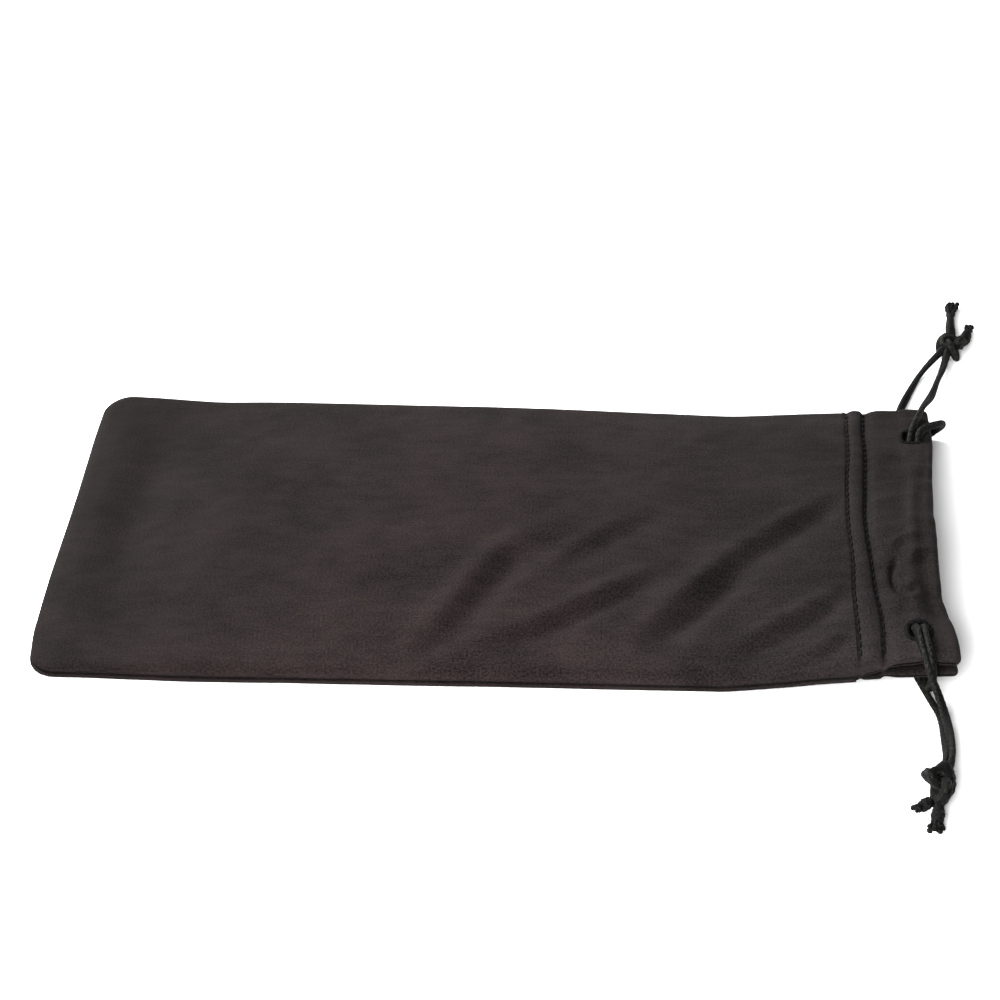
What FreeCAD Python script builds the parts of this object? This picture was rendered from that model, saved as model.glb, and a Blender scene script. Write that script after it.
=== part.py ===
"""Drawstring pouch for glasses, lying flat on its back panel.

Frame: millimetres, +Z up. X runs along the pouch from the sewn bottom end (-X) to the
mouth (+X), Y runs across it. The origin is under the middle of the cloth body.
The mouth end has a hem on each side of the mouth. Each hem is a channel, and both
drawstrings run through both channels: the near cord comes out at the near corner (-Y)
and turns round the far corner, and the far cord does the opposite.
"""
import FreeCAD, Part
import Sketcher
import math
import os

SIZES = [
    ("body_length", 180, "bottom end to mouth edge"),
    ("body_width", 90, "side edge to side edge"),
    ("cloth", 0.6, "thickness of a panel"),
    ("flat_end", 50, "where the back panel starts to rise to its hem, from the origin"),
    ("cloth_gap", 0.05, "clearance between a piece of cloth and the one it lies on"),
    ("seam_rim", 0.8, "width of the front panel's foot on the back panel"),
    ("bottom_space", 0.3, "free height inside the front panel at the bottom end"),
    ("hem_start", 71.5, "where the hem's stitched band begins, from the origin"),
    ("channel_start", 76, "where the band ends and the channel opens"),
    ("band_thick", 0.9, "two layers of cloth in the stitched band"),
    ("hem_thick", 2.7, "outer height of the channel"),
    ("hem_wall", 0.4, "cloth round the channel"),
    ("hem_slope", 2, "length over which the band widens into the channel"),
    ("channel_point", 1, "length of the channel's pointed inner end"),
    ("mouth_gap", 5.0, "free height between the hems in the middle of the mouth"),
    ("back_bow", 2.6, "rise of the back hem at its side edges"),
    ("front_bow", 1.4, "drop of the front hem at its side edges"),
    ("bottom_crown", 1.6, "height of the front panel at the bottom end"),
    ("mouth_crown", 9.5, "height of the front panel where it meets its hem"),
    ("hole_x", 83.6, "cord hole centre, from the origin"),
    ("hole_y", 33.3, "cord hole centre, from the middle line"),
    ("hole_length", 8.0, "cut in the cloth along X"),
    ("hole_width", 7.8, "cut in the cloth along Y"),
    ("hole_play", 0.1, "gap between the cloth and its buttonhole stitching"),
    ("stitch_wall", 0.5, "width of the buttonhole stitching"),
    ("stitch_height", 0.5, "height of the buttonhole stitching"),
    ("thread", 0.4, "sewing thread diameter"),
    ("thread_gap", 0.02, "clearance between a thread and its cloth"),
    ("first_row", 72.3, "first stitch row of a hem, from the origin"),
    ("second_row", 75.4, "second stitch row of a hem, from the origin"),
    ("allowance_width", 5.0, "seam allowance turned to the inside"),
    ("allowance_inset", 5.0, "seam allowance's distance inside the seam"),
    ("near_allowance", 112, "length of the seam allowance along the near side"),
    ("bottom_allowance", 68, "length of the seam allowance along the bottom end"),
    ("allowance_thick", 0.9, "two layers of cloth in the seam allowance"),
    ("cord", 1.5, "drawstring diameter"),
]

# Height of the front panel's crown at places along the pouch, from the bottom end to the mouth.
CROWN_STATIONS = [(-82, 5.6), (-65, 7.8), (-25, 8.5), (25, 9.0), (50, 9.2)]

# Points of each drawstring's route, one stretch to a piece: x, y, z.
CORD_ROUTES = {
    "near_cord_loop": [
        (85.2, -27.2, 8.53), (85.2, -18.0, 8.83), (85.2, -7.0, 9.02), (85.2, 7.0, 9.02),
        (85.2, 18.0, 8.83), (85.2, 26.0, 8.53), (85.3, 31.4, 8.45), (86.0, 34.8, 10.75),
        (89.0, 37.2, 10.7), (92.2, 37.4, 9.2), (92.2, 37.4, 3.6), (90.2, 37.2, 0.77),
        (85.8, 35.3, 0.77), (85.2, 31.4, 2.6), (85.2, 26.0, 2.22), (85.2, 18.0, 1.76),
        (85.2, 7.0, 1.38), (85.2, -7.0, 1.38), (85.2, -18.0, 1.76), (85.2, -27.2, 2.32),
    ],
    "near_cord_front_tail": [
        (85.2, -27.6, 8.5), (85.2, -31.6, 8.43), (85.0, -35.2, 10.85), (84.6, -41.5, 10.7),
        (84.4, -47.7, 9.7), (85.0, -50.6, 5.8), (85.6, -54.0, 1.9), (85.4, -59.2, 0.8),
        (84.6, -64.6, 0.9), (83.0, -69.4, 2.1),
    ],
    "near_cord_back_tail": [
        (85.2, -27.6, 2.34), (85.2, -31.4, 2.6), (84.9, -35.8, 0.77), (84.2, -42.0, 0.77),
        (83.7, -48.0, 0.77), (83.0, -53.6, 0.77), (82.6, -59.4, 0.78), (82.0, -64.8, 0.9),
        (80.6, -69.2, 1.9),
    ],
    "near_cord_front_end": [(80.5, -78.0, 2.0), (79.9, -81.0, 1.1), (79.4, -84.2, 0.8)],
    "near_cord_back_end": [(79.2, -76.9, 1.9), (77.6, -78.6, 1.0), (75.8, -79.6, 0.8)],
    "far_cord_loop": [
        (82.0, 27.2, 8.53), (82.0, 18.0, 8.83), (82.0, 7.0, 9.02), (82.0, -7.0, 9.02),
        (82.0, -18.0, 8.83), (82.0, -26.0, 8.53), (82.0, -31.6, 8.43), (82.0, -35.2, 10.85),
        (81.8, -42.0, 10.7), (81.6, -47.7, 9.7), (81.6, -47.9, 3.6), (81.6, -45.4, 0.8),
        (81.8, -35.8, 0.8), (82.0, -31.4, 2.6), (82.0, -26.0, 2.22), (82.0, -18.0, 1.76),
        (82.0, -7.0, 1.38), (82.0, 7.0, 1.38), (82.0, 18.0, 1.76), (82.0, 27.2, 2.32),
    ],
    "far_cord_front_tail": [
        (82.0, 27.6, 8.5), (82.0, 31.6, 8.43), (82.4, 35.2, 10.85), (84.2, 41.0, 10.7),
        (86.4, 47.4, 9.9), (88.4, 51.0, 5.8), (90.4, 55.6, 2.0), (93.0, 62.0, 1.0),
        (95.4, 68.6, 1.1), (96.9, 74.0, 2.0),
    ],
    "far_cord_back_tail": [
        (82.0, 27.6, 2.34), (82.0, 31.4, 2.6), (82.1, 35.8, 0.77), (82.6, 41.6, 0.77),
        (84.0, 48.6, 0.77), (86.4, 56.0, 0.77), (89.4, 63.6, 0.79), (92.4, 70.2, 1.0),
        (95.5, 75.4, 1.9),
    ],
    "far_cord_front_end": [(98.6, 79.9, 2.2), (98.9, 84.6, 1.4), (99.4, 90.4, 0.9), (100.4, 96.4, 0.8)],
    "far_cord_back_end": [(100.6, 78.8, 2.1), (102.4, 82.4, 1.2), (103.4, 86.6, 0.8)],
}

# Middle and half sizes of the overhand knot that ties each cord's two tails: x, y, z.
KNOTS = {
    "near_knot": ((81.0, -73.4, 2.7), (3.2, 5.0, 2.7)),
    "far_knot": ((98.2, 76.8, 2.7), (3.4, 3.2, 2.7)),
}

RUN_SHARE = 0.45  # share of the shorter run that an arc of a cord's route may take
VOLUME_TOLERANCE = 0.02


class Dim:
    """A size that knows its number and its expression in the sheet."""

    def __init__(self, value, text=None):
        self.value = float(value)
        self.text = text or repr(float(value))

    def join(self, sign, other, value):
        return Dim(value, f"({self.text} {sign} {other.text})")

    def __add__(self, other):
        other = as_dim(other)
        return self.join("+", other, self.value + other.value)

    def __sub__(self, other):
        other = as_dim(other)
        return self.join("-", other, self.value - other.value)

    def __mul__(self, other):
        other = as_dim(other)
        return self.join("*", other, self.value * other.value)

    def __truediv__(self, other):
        other = as_dim(other)
        return self.join("/", other, self.value / other.value)

    def __neg__(self):
        return Dim(-self.value, f"(0 - {self.text})")


def as_dim(number):
    return number if isinstance(number, Dim) else Dim(number)


def arc_radius(half_chord, rise):
    """Radius of the arc with this half chord and this rise."""
    return (half_chord * half_chord + rise * rise) / (rise * 2)


def sweep_angle(half_chord, radius):
    """Whole angle in degrees of the arc with this half chord and radius."""
    ratio = half_chord / radius
    return Dim(2 * math.degrees(math.asin(ratio.value)), f"2 * asin({ratio.text}) / 1deg")


doc = FreeCAD.newDocument("glasses_pouch")
sheet = doc.addObject("Spreadsheet::Sheet", "Sizes")
size = {}
for row, (alias, number, meaning) in enumerate(SIZES, start=1):
    sheet.set(f"A{row}", meaning)
    sheet.set(f"B{row}", str(number))
    sheet.setAlias(f"B{row}", alias)
    size[alias] = Dim(number, f"Sizes.{alias}")
doc.recompute()

half_length = size["body_length"] / 2
half_width = size["body_width"] / 2
back_radius = arc_radius(half_width, size["back_bow"])
front_radius = arc_radius(half_width, size["front_bow"])
front_hem_base = size["hem_thick"] + size["mouth_gap"]
band_offset = (size["hem_thick"] - size["band_thick"]) / 2


def bind(thing, name, dim):
    """Bind a property or constraint to the sheet."""
    thing.setExpression(name, dim.text)


def new_body(label):
    body = doc.addObject("PartDesign::Body", label)
    body.Label = label
    return body


def new_sketch(body, name, role, along=0, side=0, up=0):
    """Sketch on one of the body's own planes, moved along its normal and in its plane."""
    sketch = body.newObject("Sketcher::SketchObject", name)
    plane = next(item for item in body.Origin.OriginFeatures if item.Role == role)
    sketch.AttachmentSupport = [(plane, "")]
    sketch.MapMode = "FlatFace"
    for axis, shift in (("x", side), ("y", up), ("z", along)):
        if isinstance(shift, Dim):
            bind(sketch, f"AttachmentOffset.Base.{axis}", shift)
    return sketch


def constrain(sketch, dim, *values):
    """Add a constraint whose size is bound to the sheet."""
    index = sketch.addConstraint(Sketcher.Constraint(*values, dim.value))
    bind(sketch, f"Constraints[{index}]", dim)


def pin_point(sketch, geometry, end, point):
    """Hold one point of a curve at a place given by two sizes."""
    constrain(sketch, as_dim(point[0]), "DistanceX", -1, 1, geometry, end)
    constrain(sketch, as_dim(point[1]), "DistanceY", -1, 1, geometry, end)


def add_arc(sketch, start, finish, kind, centre, bulge):
    """Arc over a level chord (DistanceY) or an upright one (DistanceX), with its centre bound."""
    middle = (start + finish) * 0.5
    hub = FreeCAD.Vector(middle)
    if kind == "DistanceX":
        hub.x = centre.value
        outward = FreeCAD.Vector(bulge, 0, 0)
    else:
        hub.y = centre.value
        outward = FreeCAD.Vector(0, bulge, 0)
    crest = hub + outward * (start - hub).Length
    index = sketch.addGeometry(Part.Arc(start, crest, finish), False)
    constrain(sketch, centre, kind, -1, 1, index, 3)
    return index


def add_outline(sketch, points, arcs=None):
    """Closed outline; arcs maps a side's number to its arc's kind, centre and bulge."""
    arcs = arcs or {}
    points = [(as_dim(x), as_dim(y)) for x, y in points]
    places = [FreeCAD.Vector(x.value, y.value, 0) for x, y in points]
    sides = []
    for number, start in enumerate(places):
        finish = places[(number + 1) % len(places)]
        if number in arcs:
            index = add_arc(sketch, start, finish, *arcs[number])
        else:
            index = sketch.addGeometry(Part.LineSegment(start, finish), False)
        forward = (sketch.getPoint(index, 1) - start).Length < (sketch.getPoint(index, 2) - start).Length
        sides.append((index, 1, 2) if forward else (index, 2, 1))
    for number, (index, first, _) in enumerate(sides):
        last_index, _, last_end = sides[number - 1]
        sketch.addConstraint(Sketcher.Constraint("Coincident", last_index, last_end, index, first))
        pin_point(sketch, index, first, points[number])


def pad(body, sketch, length):
    feature = body.newObject("PartDesign::Pad", "Pad")
    feature.Profile = sketch
    bind(feature, "Length", length)
    return feature


def revolve_hem(body, sketch, radius):
    """Turn a hem's section about the sketch's level axis, evenly to both sides."""
    feature = body.newObject("PartDesign::Revolution", "Bow")
    feature.Profile = sketch
    feature.ReferenceAxis = (sketch, ["H_Axis"])
    feature.Midplane = True
    bind(feature, "Angle", sweep_angle(half_width, radius))
    return feature


def loft(body, kind, sections):
    feature = body.newObject(f"PartDesign::{kind}", kind)
    feature.Profile = sections[0]
    feature.Sections = sections[1:]
    feature.Ruled = True
    return feature


def crown_section(body, name, along, half, foot, top):
    """Flat-bottomed section with an arched top, across the pouch."""
    sketch = new_sketch(body, name, "YZ_Plane", along=as_dim(along))
    centre = top - arc_radius(half, top - foot)
    add_outline(sketch, [(-half, foot), (half, foot)], {1: ("DistanceY", centre, 1)})
    return sketch


def make_front_panel():
    """Crowned cloth, closed at the bottom end and at both sides, open to the mouth."""
    body = new_body("front_panel")
    foot = size["cloth"] + size["cloth_gap"]
    risen_foot = band_offset + size["back_bow"] + foot
    outer = [(-half_length, foot, size["bottom_crown"])]
    inner = [(size["seam_rim"] - half_length, foot, foot + size["bottom_space"])]
    for station, crown in CROWN_STATIONS:
        outer.append((Dim(station), foot, Dim(crown)))
        inner.append((Dim(station), foot, Dim(crown) - size["cloth"]))
    outer.append((size["hem_start"], risen_foot, size["mouth_crown"]))
    inner.append((size["hem_start"], risen_foot, size["mouth_crown"] - size["cloth"]))
    shell = [crown_section(body, f"Outer{n}", x, half_width, z, top)
             for n, (x, z, top) in enumerate(outer)]
    loft(body, "AdditiveLoft", shell)
    doc.recompute()
    hollow = [crown_section(body, f"Inner{n}", x, half_width - size["seam_rim"], z, top)
              for n, (x, z, top) in enumerate(inner)]
    loft(body, "SubtractiveLoft", hollow)
    return body


def make_back_panel():
    """Flat cloth, bowed up at its sides where it meets the back hem."""
    body = new_body("back_panel")
    flat = new_sketch(body, "Flat", "XY_Plane")
    add_outline(flat, [
        (-half_length, -half_width), (size["flat_end"], -half_width),
        (size["flat_end"], half_width), (-half_length, half_width),
    ])
    pad(body, flat, size["cloth"])
    doc.recompute()
    start = new_sketch(body, "RiseStart", "YZ_Plane", along=size["flat_end"])
    add_outline(start, [(-half_width, 0), (half_width, 0),
                        (half_width, size["cloth"]), (-half_width, size["cloth"])])
    finish = new_sketch(body, "RiseEnd", "YZ_Plane", along=size["hem_start"])
    low = band_offset + size["back_bow"]
    add_outline(finish, [(-half_width, low), (half_width, low),
                         (half_width, low + size["cloth"]), (-half_width, low + size["cloth"])],
                {0: ("DistanceY", band_offset + back_radius, -1),
                 2: ("DistanceY", band_offset + size["cloth"] + back_radius, -1)})
    loft(body, "AdditiveLoft", [start, finish])
    return body


def make_hem(label, base, radius, centre_height):
    """Hem of the mouth: a stitched band of two layers, then the channel round the cords."""
    body = new_body(label)
    sketch = new_sketch(body, "Section", "XZ_Plane", up=centre_height)
    low = base - centre_height
    thick = size["hem_thick"]
    band_low = low + band_offset
    band_high = band_low + size["band_thick"]
    opening = size["channel_start"] + size["hem_slope"]
    nose = half_length - thick / 2
    add_outline(sketch, [
        (size["hem_start"], band_low), (size["channel_start"], band_low), (opening, low),
        (nose, low), (nose, low + thick), (opening, low + thick),
        (size["channel_start"], band_high), (size["hem_start"], band_high),
    ], {3: ("DistanceX", nose, 1)})
    wall = size["hem_wall"]
    widest = opening + wall / 2
    point = widest - size["channel_point"]
    add_outline(sketch, [
        (point, low + thick / 2), (widest, low + wall), (nose, low + wall),
        (nose, low + thick - wall), (widest, low + thick - wall),
    ], {2: ("DistanceX", nose, 1)})
    revolve_hem(body, sketch, radius)
    doc.recompute()
    return body


def cut_holes(body, height, reversed_cut):
    """Cut the two cord holes through the outer wall of a hem."""
    for side, name in ((-1, "Near"), (1, "Far")):
        sketch = new_sketch(body, f"{name}Hole", "XY_Plane", along=height)
        half_x = size["hole_length"] / 2
        half_y = size["hole_width"] / 2
        middle = size["hole_y"] * side
        add_outline(sketch, [
            (size["hole_x"] - half_x, middle - half_y), (size["hole_x"] + half_x, middle - half_y),
            (size["hole_x"] + half_x, middle + half_y), (size["hole_x"] - half_x, middle + half_y),
        ])
        before = body.Shape.Volume
        pocket = body.newObject("PartDesign::Pocket", f"{name}Cut")
        pocket.Profile = sketch
        pocket.Reversed = reversed_cut
        bind(pocket, "Length", size["hem_thick"] * 2)
        doc.recompute()
        if body.Shape.Volume >= before:
            raise RuntimeError(f"{body.Label}: the {name} hole cut nothing")


def make_buttonhole(label, side, wall_height, slope):
    """Ring of buttonhole stitching that lines one cord hole and follows the hem's slope."""
    body = new_body(label)
    sketch = new_sketch(body, "Ring", "XY_Plane")
    outer_x = size["hole_length"] / 2 - size["hole_play"]
    outer_y = size["hole_width"] / 2 - size["hole_play"]
    for inset in (Dim(0), size["stitch_wall"]):
        x = outer_x - inset
        y = outer_y - inset
        add_outline(sketch, [(-x, -y), (x, -y), (x, y), (-x, y)])
    feature = pad(body, sketch, size["stitch_height"])
    feature.Midplane = True
    turn = FreeCAD.Rotation(FreeCAD.Vector(1, 0, 0), math.degrees(slope) * side)
    place = FreeCAD.Vector(size["hole_x"].value, side * size["hole_y"].value, wall_height)
    body.Placement = FreeCAD.Placement(place, turn)
    bind(body, "Placement.Base.x", size["hole_x"])
    bind(body, "Placement.Base.y", size["hole_y"] * side)
    return body


def make_stitch_row(label, along, height, radius, centre_height):
    """One row of sewing thread across a hem's band, bowed like the hem."""
    body = new_body(label)
    sketch = new_sketch(body, "Thread", "XZ_Plane", up=centre_height)
    middle = height - centre_height
    half = size["thread"] / 2
    centre = FreeCAD.Vector(along.value, middle.value, 0)
    index = sketch.addGeometry(Part.Circle(centre, FreeCAD.Vector(0, 0, 1), half.value), False)
    pin_point(sketch, index, 3, (along, middle))
    constrain(sketch, half, "Radius", index)
    revolve_hem(body, sketch, radius)
    return body


def make_allowance(label, corner, sides):
    """Seam allowance: a strip of doubled cloth turned to the inside."""
    box = doc.addObject("Part::Box", label)
    box.Label = label
    for name, dim in zip(("Length", "Width", "Height"), (*sides, size["allowance_thick"])):
        bind(box, name, dim)
    for axis, dim in zip("xyz", corner):
        bind(box, f"Placement.Base.{axis}", as_dim(dim))
    return box


def make_seam_thread(label, start, direction, length):
    """Straight line of seam thread lying on a seam allowance."""
    rod = doc.addObject("Part::Cylinder", label)
    rod.Label = label
    bind(rod, "Radius", size["thread"] / 2)
    bind(rod, "Height", length)
    turn = FreeCAD.Rotation(FreeCAD.Vector(0, 0, 1), direction)
    rod.Placement = FreeCAD.Placement(FreeCAD.Vector(), turn)
    for axis, dim in zip("xyz", start):
        bind(rod, f"Placement.Base.{axis}", as_dim(dim))
    return rod


def rounded_path(points):
    """Straight runs joined by the largest tangent arcs that RUN_SHARE allows, and their radii."""
    points = [FreeCAD.Vector(*point) for point in points]
    edges = []
    radii = []
    last = points[0]
    for before, corner, after in zip(points, points[1:], points[2:]):
        into = (before - corner).normalize()
        out = (after - corner).normalize()
        reach = RUN_SHARE * min((before - corner).Length, (after - corner).Length)
        half_turn = (math.pi - into.getAngle(out)) / 2
        radius = reach / math.tan(half_turn)
        arc_start = corner + into * reach
        arc_end = corner + out * reach
        bisector = (into + out).normalize()
        middle = corner + bisector * (radius / math.cos(half_turn) - radius)
        edges.append(Part.LineSegment(last, arc_start).toShape())
        edges.append(Part.Arc(arc_start, middle, arc_end).toShape())
        radii.append(radius)
        last = arc_end
    edges.append(Part.LineSegment(last, points[-1]).toShape())
    return Part.Wire(edges), radii


def make_cord(label, points):
    """Round cord along one stretch of its route."""
    radius = size["cord"].value / 2
    path, radii = rounded_path(points)
    start = FreeCAD.Vector(*points[0])
    circle = Part.Wire(Part.Circle(start, FreeCAD.Vector(*points[1]) - start, radius).toShape())
    feature = doc.addObject("Part::Feature", label)
    feature.Label = label
    feature.Shape = path.makePipeShell([circle], True, True)
    expected = math.pi * radius ** 2 * path.Length
    print(f"{label}: length {path.Length:.1f}, radii {min(radii):.1f} to {max(radii):.1f}")
    if abs(feature.Shape.Volume / expected - 1) > VOLUME_TOLERANCE:
        raise RuntimeError(f"{label}: volume {feature.Shape.Volume:.2f}, expected {expected:.2f}")
    return feature


def make_knot(label, middle, half_sizes):
    """Closed outer form of an overhand knot, resting on the ground."""
    knot = doc.addObject("Part::Ellipsoid", label)
    knot.Label = label
    knot.Radius2, knot.Radius3, knot.Radius1 = half_sizes
    knot.Placement.Base = FreeCAD.Vector(*middle)
    return knot


def make_all():
    back_centre = back_radius
    front_centre = front_hem_base - front_radius
    parts = [make_back_panel(), make_front_panel()]

    back_hem = make_hem("back_hem", Dim(0), back_radius, back_centre)
    front_hem = make_hem("front_hem", front_hem_base, front_radius, front_centre)
    hole = size["hole_y"].value
    back_slope = math.asin(hole / back_radius.value)
    front_slope = -math.asin(hole / front_radius.value)
    back_rise = back_radius.value * (1 - math.cos(back_slope))
    front_drop = front_radius.value * (1 - math.cos(front_slope))
    cut_holes(back_hem, size["hem_thick"] / 2 + back_rise, False)
    cut_holes(front_hem, front_hem_base + size["hem_thick"] / 2 - front_drop, True)
    parts += [back_hem, front_hem]

    wall_middle = size["hem_wall"].value / 2
    back_ring = back_rise + wall_middle
    front_ring = front_hem_base.value + size["hem_thick"].value - front_drop - wall_middle
    for side, name in ((-1, "near"), (1, "far")):
        parts.append(make_buttonhole(f"{name}_back_buttonhole", side, back_ring, back_slope))
        parts.append(make_buttonhole(f"{name}_front_buttonhole", side, front_ring, front_slope))

    lift = size["thread"] / 2 + size["thread_gap"]
    back_thread = band_offset - lift
    front_thread = front_hem_base + band_offset + size["band_thick"] + lift
    for row, along in (("first", size["first_row"]), ("second", size["second_row"])):
        parts.append(make_stitch_row(f"back_hem_{row}_stitching", along, back_thread,
                                     back_radius, back_centre))
        parts.append(make_stitch_row(f"front_hem_{row}_stitching", along, front_thread,
                                     front_radius, front_centre))

    width = size["allowance_width"]
    inset = size["allowance_inset"]
    inside = size["cloth"] + size["cloth_gap"]
    thread_height = inside + size["allowance_thick"] + lift
    near_start = inset * 3 - half_length
    near_edge = inset - half_width
    bottom_edge = inset - half_length
    bottom_start = -size["bottom_allowance"] / 2
    parts.append(make_allowance("near_seam_allowance", (near_start, near_edge, inside),
                                (size["near_allowance"], width)))
    parts.append(make_allowance("bottom_seam_allowance", (bottom_edge, bottom_start, inside),
                                (width, size["bottom_allowance"])))
    parts.append(make_seam_thread("near_seam_thread",
                                  (near_start, near_edge + width / 2, thread_height),
                                  FreeCAD.Vector(1, 0, 0), size["near_allowance"]))
    parts.append(make_seam_thread("bottom_seam_thread",
                                  (bottom_edge + width / 2, bottom_start, thread_height),
                                  FreeCAD.Vector(0, 1, 0), size["bottom_allowance"]))

    parts += [make_cord(label, points) for label, points in CORD_ROUTES.items()]
    parts += [make_knot(label, *shape) for label, shape in KNOTS.items()]
    return parts


def write_parts(parts):
    """Check every object, then write each sub-part to its own file."""
    doc.recompute()
    for item in doc.Objects:
        if {"Invalid", "Error"} & set(item.State):
            raise RuntimeError(f"{item.Label}: {item.State}")
    for part in parts:
        if part.Shape.isNull() or not part.Shape.isValid():
            raise RuntimeError(f"{part.Label}: bad shape")
    os.makedirs("parts", exist_ok=True)
    for part in parts:
        box = part.Shape.optimalBoundingBox()
        print(f"{part.Label}: {len(part.Shape.Solids)} solid, volume {part.Shape.Volume:.1f}, "
              f"x {box.XMin:.1f} {box.XMax:.1f}, y {box.YMin:.1f} {box.YMax:.1f}, "
              f"z {box.ZMin:.2f} {box.ZMax:.2f}")
        part.Shape.exportStep(f"parts/{part.Label}.step")


write_parts(make_all())
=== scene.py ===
"""Soft drawstring pouch for glasses, lying on a table with its mouth to the right.

Every cloth piece is a thin closed shell. Its flat pattern is laid out in millimetres:
X from the sewn bottom end (-90) to the mouth edge (90), Y across from the near side (-45)
to the far side (45). place() lays the pattern on the table, and the height functions
raise it. The two hems are hollow channels, and both drawstrings run through them.
"""
import math
import bpy
import numpy as np
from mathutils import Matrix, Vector


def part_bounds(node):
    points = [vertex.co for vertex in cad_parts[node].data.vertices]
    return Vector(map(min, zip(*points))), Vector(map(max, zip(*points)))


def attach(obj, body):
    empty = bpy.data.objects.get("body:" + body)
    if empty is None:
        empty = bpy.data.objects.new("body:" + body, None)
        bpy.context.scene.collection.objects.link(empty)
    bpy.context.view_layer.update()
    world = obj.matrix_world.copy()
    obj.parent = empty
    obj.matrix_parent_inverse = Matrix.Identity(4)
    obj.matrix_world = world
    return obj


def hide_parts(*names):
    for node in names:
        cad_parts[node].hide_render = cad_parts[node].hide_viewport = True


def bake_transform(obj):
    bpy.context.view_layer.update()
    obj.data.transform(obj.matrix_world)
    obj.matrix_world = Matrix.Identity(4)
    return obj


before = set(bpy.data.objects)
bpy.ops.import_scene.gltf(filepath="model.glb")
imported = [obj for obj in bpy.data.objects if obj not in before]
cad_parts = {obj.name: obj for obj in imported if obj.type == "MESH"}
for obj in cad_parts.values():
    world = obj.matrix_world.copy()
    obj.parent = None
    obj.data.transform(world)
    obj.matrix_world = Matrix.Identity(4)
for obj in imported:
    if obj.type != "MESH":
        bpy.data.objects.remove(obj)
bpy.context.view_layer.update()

MM = 0.001
rng = np.random.default_rng(7)

# ---- camera ----

CAMERA_TARGET = Vector((-0.0020, 0.0171, 0.0))
CAMERA_AZIMUTH = math.radians(2.0)
CAMERA_ELEVATION = math.radians(35.3)
CAMERA_DISTANCE = 0.5674
CAMERA_LENS = 97.2


def aim(thing, back):
    """Turn a camera or lamp so that it looks against the direction back."""
    thing.rotation_mode = "QUATERNION"
    thing.rotation_quaternion = (-back).to_track_quat("-Z", "Y")
    bpy.context.scene.collection.objects.link(thing)


def make_camera():
    back = Vector((
        math.sin(CAMERA_AZIMUTH) * math.cos(CAMERA_ELEVATION),
        -math.cos(CAMERA_AZIMUTH) * math.cos(CAMERA_ELEVATION),
        math.sin(CAMERA_ELEVATION),
    ))
    data = bpy.data.cameras.new("camera")
    data.lens = CAMERA_LENS
    data.sensor_width = 36
    data.clip_start = 0.02
    data.clip_end = 20
    camera = bpy.data.objects.new("camera", data)
    camera.location = CAMERA_TARGET + back * CAMERA_DISTANCE
    aim(camera, back)
    bpy.context.scene.camera = camera


# ---- pattern and heights, in millimetres ----

LENGTH_END = -90.0
MOUTH_EDGE = 90.0
HALF_WIDTH = 45.0
HEM_START = 71.5
CHANNEL_START = 76.3
CLOTH = 0.55
HEM_WALL = 0.42
FIRST_ROW = 72.3
SECOND_ROW = 75.4
MOUTH_SLANT = 2.6
NEAR_CORNER = 5.0
FAR_CORNER = 6.0
EDGE_ROLL = 2.6
CORD = 1.5

# Heights of the front cloth along the pouch: place, height.
NEAR_TOP = [(-90, 2.0), (-86, 2.9), (-60, 3.2), (25, 3.3), (50, 3.8), (60, 5.2), (71.5, 8.0),
            (82, 9.5), (90, 9.8)]
FAR_TOP = [(-90, 3.0), (-86, 3.8), (-60, 3.8), (25, 4.0), (50, 4.6), (60, 5.0), (71.5, 5.6), (90, 6.3)]
MIDDLE_TOP = [(-90, 2.2), (-86, 3.7), (-80, 4.2), (-74, 4.0), (-68, 4.6), (-58, 6.0), (-42, 7.0),
              (0, 7.6), (50, 8.4), (71.5, 9.4), (90, 9.9)]
# Rise of the back cloth at its two sides.
NEAR_LIFT = [(45, 0), (58, 1.5), (65, 2.5), (75, 3.6), (90, 4.6)]
FAR_LIFT = [(45, 0), (60, 0.9), (71.5, 1.6), (90, 2.0)]
# How far the outline leaves the plain rectangle.
FAR_EDGE = [(-90, 5.4), (-78, 4.6), (-65, 3.2), (-52, 3.6), (-30, 3.4), (-5, 3.1), (10, 2.7),
            (22, 2.1), (35, 1.1), (47, 0.2), (60, 0.7), (72, 0.9), (90, 0.9)]
NEAR_EDGE = [(-90, 0.2), (-60, -0.4), (0, 0.0), (60, 0.0), (90, 0.0)]
END_BOW = [(-45, -0.5), (-33, -1.5), (-17, -1.4), (0, -0.8), (10, -0.5), (30, -0.2), (45, 0.4)]
# How far the sewn band and the mouth edge are drawn in between the two corners.
BAND_BOW = [(-45, -1.3), (-28, -1.6), (2, -1.9), (19, -1.1), (45, -0.3)]
MOUTH_BOW = [(-45, 0.1), (-40, 0.0), (-34, -0.6), (-25, -2.1), (-7, -2.3), (2, -2.7),
             (10, -1.9), (19, -1.0), (30, 0.0), (45, 0.0)]


def lengths_along(points):
    """Length from the start of a line of points to each of them."""
    return np.concatenate([[0], np.cumsum(np.linalg.norm(np.diff(points, axis=0), axis=1))])


def smooth(t):
    t = np.clip(t, 0, 1)
    return t * t * (3 - 2 * t)


def curve(stations, along):
    """Rounded line through the stations."""
    places, heights = np.array(stations, float).T
    reach = (places[-1] - places[0]) / 60
    offsets = np.linspace(-reach, reach, 7)
    return sum(np.interp(along + offset, places, heights) for offset in offsets) / len(offsets)


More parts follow.
